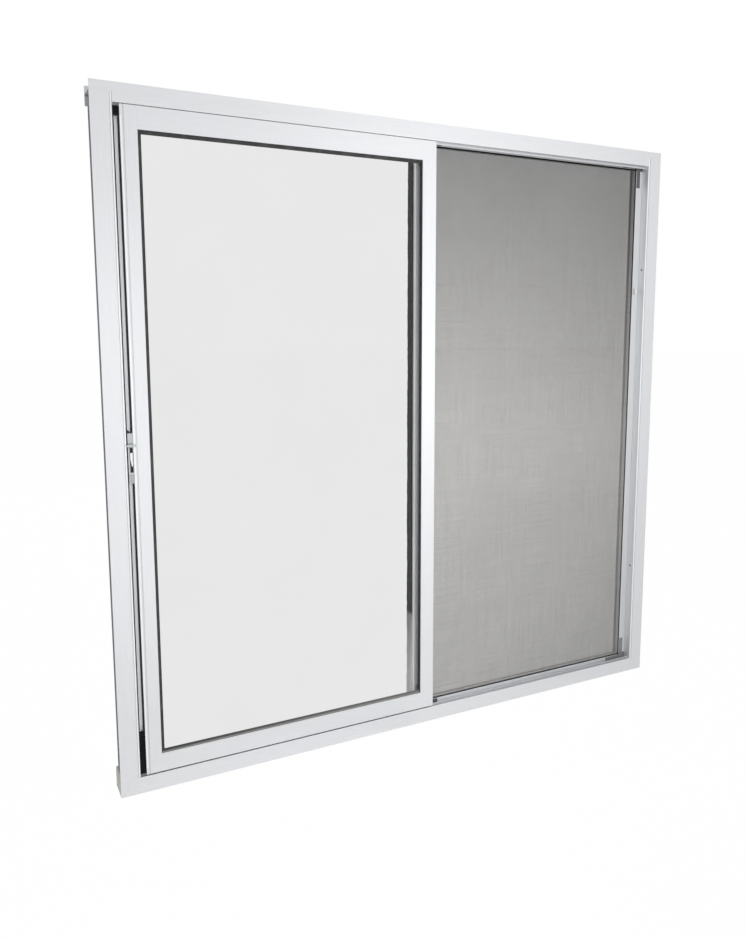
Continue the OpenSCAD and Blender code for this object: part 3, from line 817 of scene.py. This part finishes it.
def add_thread(bm, start, end, radius, material_index):
    """A thin straight tube between two points in metres."""
    along = (end - start).normalized()
    side = along.cross(Vector((0, 1, 0))).normalized()
    other = Vector((0, 1, 0))
    loops = []
    for point in (start, end):
        loop = []
        for i in range(THREAD_SIDES):
            step = 2 * math.pi * i / THREAD_SIDES
            loop.append(bm.verts.new(
                point + (side * math.cos(step) + other * math.sin(step)) * radius * MM))
        loops.append(loop)
    for i in range(THREAD_SIDES):
        j = (i + 1) % THREAD_SIDES
        face = bm.faces.new((loops[0][i], loops[0][j], loops[1][j], loops[1][i]))
        face.material_index = material_index
    for loop in loops:
        bm.faces.new(loop).material_index = material_index


def make_screen():
    """Insect screen of real threads, its ends tucked under the spline."""
    x0, x1 = span("screen_mesh", "x")
    z0, z1 = span("screen_mesh", "z")
    chance = random.Random(SEEDS["threads"])
    bm = bmesh.new()
    for x in thread_places(x0, x1, chance):
        ends = [at(x, THREAD_UP_DEPTH, z) for z in (z0 - THREAD_TUCK, z1 + THREAD_TUCK)]
        add_thread(bm, *ends, THREAD_R * chance.uniform(*THREAD_R_SHARES), 0)
    for z in thread_places(z0, z1, chance):
        ends = [at(x, THREAD_ALONG_DEPTH, z) for x in (x0 - THREAD_TUCK, x1 + THREAD_TUCK)]
        add_thread(bm, *ends, THREAD_R * chance.uniform(*THREAD_R_SHARES), 1)
    cloth = add_piece(
        "insect_screen", bm, [thread_up, thread_along], ["screen_mesh"], 80.0)


# Brush piles and seals

def add_tuft(bm, root, tip, radius):
    """One tapered three-sided fibre bundle between two points in metres."""
    along = (tip - root).normalized()
    side = along.orthogonal().normalized()
    other = along.cross(side)
    turns = [2 * math.pi * i / 3 for i in range(3)]
    foot = [bm.verts.new(root + (side * math.cos(t) + other * math.sin(t)) * radius * MM) for t in turns]
    head = [
        bm.verts.new(tip + (side * math.cos(t) + other * math.sin(t)) * radius * TUFT_TIP * MM)
        for t in turns]
    for i in range(3):
        j = (i + 1) % 3
        bm.faces.new((foot[i], foot[j], head[j], head[i]))
    bm.faces.new(head)
    bm.faces.new(foot[::-1])


def make_brush(name, node, strips, rows, step, pitch, radius):
    """Backing strips with rows of fibre bundles; step is the way in millimetres from root to tip."""
    z0, z1 = span(node, "z")
    chance = random.Random(SEEDS[name])
    bm = bmesh.new()
    for strip in strips:
        add_prism(bm, strip, "z", z0, z1)
    round_edges(bm, width=0.05, segments=1)
    for i in range(int((z1 - z0 - 2 * BRUSH_END) / pitch)):
        for x, d in rows:
            z = z0 + BRUSH_END + pitch * (i + 0.5) + chance.uniform(-TUFT_DRIFT, TUFT_DRIFT) * pitch
            share = chance.uniform(*TUFT_LENGTHS)
            lean = chance.uniform(-TUFT_LEAN, TUFT_LEAN)
            root = at(x, d, z)
            drift = (lean if step[0] == 0 else 0.0, lean if step[1] == 0 else 0.0)
            tip = at(
                x + step[0] * share + drift[0], d + step[1] * share + drift[1],
                z + chance.uniform(-TUFT_RISE, TUFT_RISE))
            add_tuft(bm, root, tip, radius)
    add_piece(name, bm, [pile], [node])


def make_piles():
    """The brush seals of the jamb, the lock stile and the meeting stile."""
    make_brush(
        "jamb_brush", "jamb_pile",
        [rectangle(-566.0, -565.2, 17.35, 19.25), rectangle(-565.3, -561.3, 18.2, 18.4)],
        [(-565.4, 17.8), (-565.4, 18.3), (-565.4, 18.8)], (4.4, 0.0), pitch=0.9, radius=0.3)
    left, right = span("lock_stile_pile", "x")
    front, back = span("lock_stile_pile", "d")
    root = back - 0.5
    make_brush(
        "stile_brush", "lock_stile_pile", [rectangle(left + 0.05, right - 0.05, back - 0.6, back)],
        [(left + 0.7 + (right - left - 1.4) * i / 4, root) for i in range(5)],
        (0.0, front - root), pitch=1.0, radius=0.42)
    make_brush(
        "meeting_brush", "meeting_pile", [rectangle(-1.9, 3.9, 19.0, 19.25)],
        [(-1.2, 19.2), (0.3, 19.2), (1.7, 19.2), (3.2, 19.2)], (0.0, 0.48), pitch=1.3, radius=0.3)


def seal_swell(z):
    """Share of the seal's thickness at a height, in a slow and a quick wave."""
    return 0.86 + 0.08 * math.sin(z / 31.0) + 0.05 * math.sin(z / 11.0 + 1.3)


def make_mullion_seal():
    """Foamed rubber strip on the side of the mullion, wavy and ragged on its free side."""
    low, high = [[reach("mullion_seal", axis, side) for axis in "xdz"] for side in (0, 1)]
    thickness = high[0] - low[0]
    rows = int((high[2] - low[2]) / SEAL_PITCH)
    chance = random.Random(SEEDS["seal"])
    bm = bmesh.new()
    loops = []
    for k in range(rows + 1):
        z = low[2] + (high[2] - low[2]) * k / rows
        loop = [bm.verts.new(at(high[0], low[1], z))]
        for i in range(SEAL_CELLS + 1):
            share = min(SEAL_FULL, seal_swell(z) + chance.uniform(*SEAL_TEAR))
            if i in (0, SEAL_CELLS):
                share *= 0.9
            d = low[1] + (high[1] - low[1]) * i / SEAL_CELLS
            loop.append(bm.verts.new(at(high[0] - thickness * share, d, z)))
        loop.append(bm.verts.new(at(high[0], high[1], z)))
        loops.append(loop)
    count = SEAL_CELLS + 3
    for here, there in zip(loops, loops[1:]):
        for i in range(count):
            j = (i + 1) % count
            bm.faces.new((here[i], there[i], there[j], here[j]))
    bm.faces.new(loops[0])
    bm.faces.new(loops[-1][::-1])
    add_piece("mullion_seal_strip", bm, [seal_rubber], ["mullion_seal"], 40.0)


def pad_block(bm, low, high, chance):
    """A block of small cells with a dented, porous skin that stays inside its corners."""
    counts = [max(1, int(round((high[k] - low[k]) / PAD_CELL))) for k in range(3)]
    made = {}

    def corner(i, j, k):
        if (i, j, k) not in made:
            place = [low[a] + (high[a] - low[a]) * n / counts[a] for a, n in enumerate((i, j, k))]
            for a, n in enumerate((i, j, k)):
                dent = chance.uniform(0.0, PAD_DENT)
                near = sum(1 for b, m in enumerate((i, j, k)) if b != a and m in (0, counts[b]))
                if n == 0:
                    place[a] += dent + PAD_CORNER * near
                if n == counts[a]:
                    place[a] -= dent + PAD_CORNER * near
            made[(i, j, k)] = bm.verts.new(at(*place))
        return made[(i, j, k)]

    for a in range(3):
        b, c = (a + 1) % 3, (a + 2) % 3
        for side in (0, counts[a]):
            for j in range(counts[b]):
                for k in range(counts[c]):
                    quad = []
                    for dj, dk in ((0, 0), (1, 0), (1, 1), (0, 1)):
                        index = [0, 0, 0]
                        index[a], index[b], index[c] = side, j + dj, k + dk
                        quad.append(corner(*index))
                    bm.faces.new(quad)


def make_pads():
    """Foam blocks that close the ends of the sill and the feet of the jambs' channels."""
    chance = random.Random(SEEDS["pads"])
    front, back = PAD_DEPTHS
    for side, node in ((-1, "seal_pad_left"), (1, "seal_pad_right")):
        bm = bmesh.new()
        x0, x1 = sorted((side * PAD_OUTER, side * PAD_INNER))
        for foot, top in ((PAD_FOOT, PAD_LOW_TOP), (PAD_HIGH_FOOT, reach(node, "z", 1))):
            pad_block(bm, (x0, front, foot), (x1, back, top), chance)
        add_piece(node + "_foam", bm, [foam], [node], 75.0)


def make_bumpers():
    """Rubber stops in the gap between the left jamb and the sash, grooved across the front."""
    front, back = BUMPER_DEPTHS
    rise, floor_end, width = GROOVE_STEPS
    for node in ("bumper_top", "bumper_bottom"):
        z0, z1 = span(node, "z")
        outline = [(back, z0), (front, z0)]
        for i in range(int((z1 - z0 - GROOVE_START) / GROOVE_PITCH)):
            z = z0 + GROOVE_START + GROOVE_PITCH * i
            outline += [
                (front, z), (GROOVE_DEPTH, z + rise), (GROOVE_DEPTH, z + floor_end), (front, z + width)]
        outline += [(front, z1), (back, z1)]
        bm = bmesh.new()
        add_prism(bm, outline, "x", *BUMPER_X)
        round_edges(bm, width=0.28, least=30.0)
        add_piece(node + "_block", bm, [deep_rubber], [node])


def make_blocks():
    """Setting blocks under the fixed pane."""
    rounded_node("setting_block_pair", "setting_blocks", rubber, MOULDED_EDGE)


# Hardware

def screw_template():
    """Mesh of a small pan-head screw with a cross recess, its head along +X from the origin."""
    head = bmesh.new()
    add_turned(head, SCREW_PROFILE, 0.0, HALF_DEPTH, 0.0, "x", 36)
    bmesh.ops.recalc_face_normals(head, faces=head.faces)
    cutter = bmesh.new()
    arm, half = RECESS_ARM, RECESS_HALF_WIDTH
    cross = [
        (-half, -arm), (half, -arm), (half, -half), (arm, -half), (arm, half), (half, half),
        (half, arm), (-half, arm), (-half, half), (-arm, half), (-arm, -half), (-half, -half)]
    shifted = [(HALF_DEPTH + a, b) for a, b in cross]
    add_prism(cutter, shifted, "x", *RECESS_SPAN)
    bmesh.ops.recalc_face_normals(cutter, faces=cutter.faces)
    objects = [link_bmesh("screw_head", head), link_bmesh("screw_cutter", cutter)]
    cut = objects[0].modifiers.new("recess", "BOOLEAN")
    cut.operation = "DIFFERENCE"
    cut.solver = "EXACT"
    cut.object = objects[1]
    bpy.context.view_layer.update()
    graph = bpy.context.evaluated_depsgraph_get()
    result = bpy.data.meshes.new_from_object(objects[0].evaluated_get(graph))
    for made in objects:
        bpy.data.objects.remove(made)
    return result


def add_screws(name, template, places):
    """Copies of the screw at (x, d, z, direction, turn), as one piece; direction is a unit vector."""
    bm = bmesh.new()
    for x, d, z, direction, turn in places:
        before = len(bm.verts)
        bm.from_mesh(template)
        bm.verts.ensure_lookup_table()
        fresh = bm.verts[before:]
        aim = Vector((1, 0, 0)).rotation_difference(Vector(direction)).to_matrix().to_4x4()
        spin = Matrix.Rotation(math.radians(turn), 4, "X")
        bmesh.ops.transform(bm, matrix=Matrix.Translation(at(x, d, z)) @ aim @ spin, verts=fresh)
    add_piece(name, bm, [steel], smooth=35.0)


def make_screws():
    """Screws of the frame's upper corners and of the sash's corners."""
    template = screw_template()
    head_places = [
        (side * FRAME_SCREW_X, d, FRAME_SCREW_HEIGHT, (0, 0, 1), 20 + 31 * side + d)
        for side in (-1, 1) for d in FRAME_SCREW_DEPTHS]
    add_screws("frame_corner_screws", template, head_places)
    sash_places = [
        (SASH_SCREW_X, SASH_SCREW_DEPTH, z, (1, 0, 0), turn)
        for z, turn in ((50.0, 15), (1150.0, 70))]
    add_screws("sash_corner_screws", template, sash_places)


def make_hole_plugs():
    """Dark plugs sunk in the fixing holes of the jambs' webs."""
    bm = bmesh.new()
    for side in (-1, 1):
        profile = [(radius, side * along) for radius, along in PLUG_PROFILE]
        for z in PLUG_HEIGHTS:
            add_turned(bm, profile, side * PLUG_X, PLUG_DEPTH, z, "x", 32)
    add_piece("fixing_hole_plugs", bm, [dark_plastic])


def make_rollers():
    """Grooved nylon wheels on steel axles, in their plastic housings."""
    bm = bmesh.new()
    for x in ROLLER_X:
        add_turned(bm, WHEEL_PROFILE, x, ROLLER_DEPTH, ROLLER_HEIGHT, "d", 64)
    add_piece("roller_wheel_pair", bm, [nylon], ["roller_wheels"], 30.0)
    axle = bmesh.new()
    for x in ROLLER_X:
        add_turned(axle, AXLE_PROFILE, x, ROLLER_DEPTH, ROLLER_HEIGHT, "d", 32)
    add_piece("roller_axles", axle, [steel])
    rounded_node("roller_housing_pair", "roller_housings", dark_plastic, MOULDED_EDGE)
    rounded_node("top_guide_pair", "top_guides", dark_plastic, 0.6)


def make_latch():
    """Spring latch on the lock stile, with its lever, crossbar and keeper."""
    rounded_node("latch_case", "latch_body", zinc, 0.3, 3)
    bm = bmesh.new()
    add_prism(bm, LEVER_OUTLINE, "d", *LEVER_DEPTHS)
    round_edges(bm, width=0.55, segments=3)
    add_piece("latch_thumb_lever", bm, [nylon], ["latch_lever"])
    # Black rubber in the lever's slot, painted shade for the slot's depth, and a black wedge on the
    # case's top
    black_fill = bmesh.new()
    add_prism(black_fill, rectangle(*SLOT_SHADE_RECT), "d", *SLOT_SHADE_DEPTHS)
    add_prism(black_fill, TOP_WEDGE_OUTLINE, "d", *TOP_WEDGE_DEPTHS)
    round_edges(black_fill, width=0.3)
    add_piece("latch_slot_shade_and_wedge", black_fill, [rubber])
    rounded_node("latch_cross_bar", "latch_crossbar", zinc, 0.25, 3)
    plate = bmesh.new()
    add_prism(plate, rectangle(*KEEPER_RECT), "x", *KEEPER_X)
    round_edges(plate, width=0.35, segments=3)
    add_piece("keeper_plate", plate, [zinc], ["keeper"])


def make_screen_fittings():
    """Moulded corners and the finger pull of the screen."""
    for side in ("top_left", "top_right", "bottom_left", "bottom_right"):
        node = "screen_corner_" + side
        finish = pale_plastic if side == "bottom_right" else dark_plastic
        rounded_node(node + "_moulding", node, finish, 0.3, 3)
    rounded_node("screen_finger_pull", "screen_pull", nylon, 0.45, 3)


# Stage

def seen_share(tree):
    """Share that is 1 for what the camera, a reflection or the glass sees, and 0 for light."""
    rays = add_node(tree, "ShaderNodeLightPath")
    direct = calculate(tree, "MAXIMUM", rays.outputs["Is Camera Ray"], rays.outputs["Is Glossy Ray"])
    return calculate(tree, "MAXIMUM", direct, rays.outputs["Is Transmission Ray"])


def make_world():
    """White where it is seen, and an even pale light elsewhere."""
    world = bpy.data.worlds.new("studio")
    bpy.context.scene.world = world
    world.use_nodes = True
    tree = world.node_tree
    tree.nodes.clear()
    output = add_node(tree, "ShaderNodeOutputWorld")
    light = add_node(tree, "ShaderNodeBackground", Color=WORLD_COLOUR, Strength=WORLD_LIGHT)
    seen = add_node(tree, "ShaderNodeBackground", Color=WHITE, Strength=1.0)
    mix_shaders(tree, output, seen_share(tree), light, seen)


def make_floor():
    """Plain pale floor, white where it is seen apart from the window's soft shadow."""
    material, tree, output = new_material("floor_finish")
    matt = add_node(tree, "ShaderNodeBsdfDiffuse", Color=FLOOR_COLOUR)
    white = add_node(tree, "ShaderNodeEmission", Color=WHITE, Strength=1.0)
    share = calculate(tree, "MULTIPLY", seen_share(tree), FLOOR_SHARE)
    mix_shaders(tree, output, share, matt, white)
    bm = bmesh.new()
    w = FLOOR_HALF_WIDTH
    corners = [(-w, -w), (w, -w), (w, w), (-w, w)]
    bm.faces.new([bm.verts.new((x, y, -FLOOR_DROP)) for x, y in corners])
    floor = link_bmesh("studio_floor", bm)
    floor.data.materials.append(material)


def make_lamps():
    """Large soft panels round the window."""
    for name, (place, aim, size, power) in LAMPS.items():
        lamp = bpy.data.lights.new(name, "AREA")
        lamp.shape = "SQUARE"
        lamp.size = size
        lamp.energy = power
        holder = bpy.data.objects.new(name, lamp)
        holder.location = place
        holder.rotation_euler = (Vector(aim) - Vector(place)).to_track_quat("-Z", "Y").to_euler()
        holder.visible_glossy = False
        holder.visible_camera = False
        holder.visible_transmission = False
        bpy.context.scene.collection.objects.link(holder)


def make_camera():
    """Camera at the photograph's place and view."""
    yaw, pitch, roll = (math.radians(v) for v in (CAMERA_YAW, CAMERA_PITCH, CAMERA_ROLL))
    forward = Vector((
        math.sin(yaw) * math.cos(pitch), math.cos(yaw) * math.cos(pitch), math.sin(pitch)))
    data = bpy.data.cameras.new("photo_camera")
    data.lens = CAMERA_LENS
    data.sensor_width = CAMERA_SENSOR
    data.shift_x, data.shift_y = CAMERA_SHIFT
    data.clip_start, data.clip_end = CAMERA_CLIP
    camera = bpy.data.objects.new("photo_camera", data)
    aim = forward.to_track_quat("-Z", "Y").to_matrix().to_4x4()
    turn = Matrix.Rotation(roll, 4, "Z")
    camera.matrix_world = Matrix.Translation(CAMERA_PLACE) @ aim @ turn
    bpy.context.scene.collection.objects.link(camera)
    bpy.context.scene.camera = camera


def finish_nodes():
    """Gives each CAD node the finish of its slot."""
    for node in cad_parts.values():
        old = node.data.materials[0].name.split(".")[0] if node.data.materials else "aluminium"
        finish = SLOT_FINISH.get(old, aluminium_z)
        node.data.materials.clear()
        node.data.materials.append(finish)


make_camera()
make_world()
make_floor()
make_lamps()
finish_nodes()
make_profiles()
make_panes()
make_gaskets()
make_spline()
make_screen()
make_piles()
make_mullion_seal()
make_pads()
make_bumpers()
make_blocks()
make_rollers()
make_latch()
make_screen_fittings()
make_screws()
make_hole_plugs()

bpy.context.scene.view_settings.view_transform = "Standard"
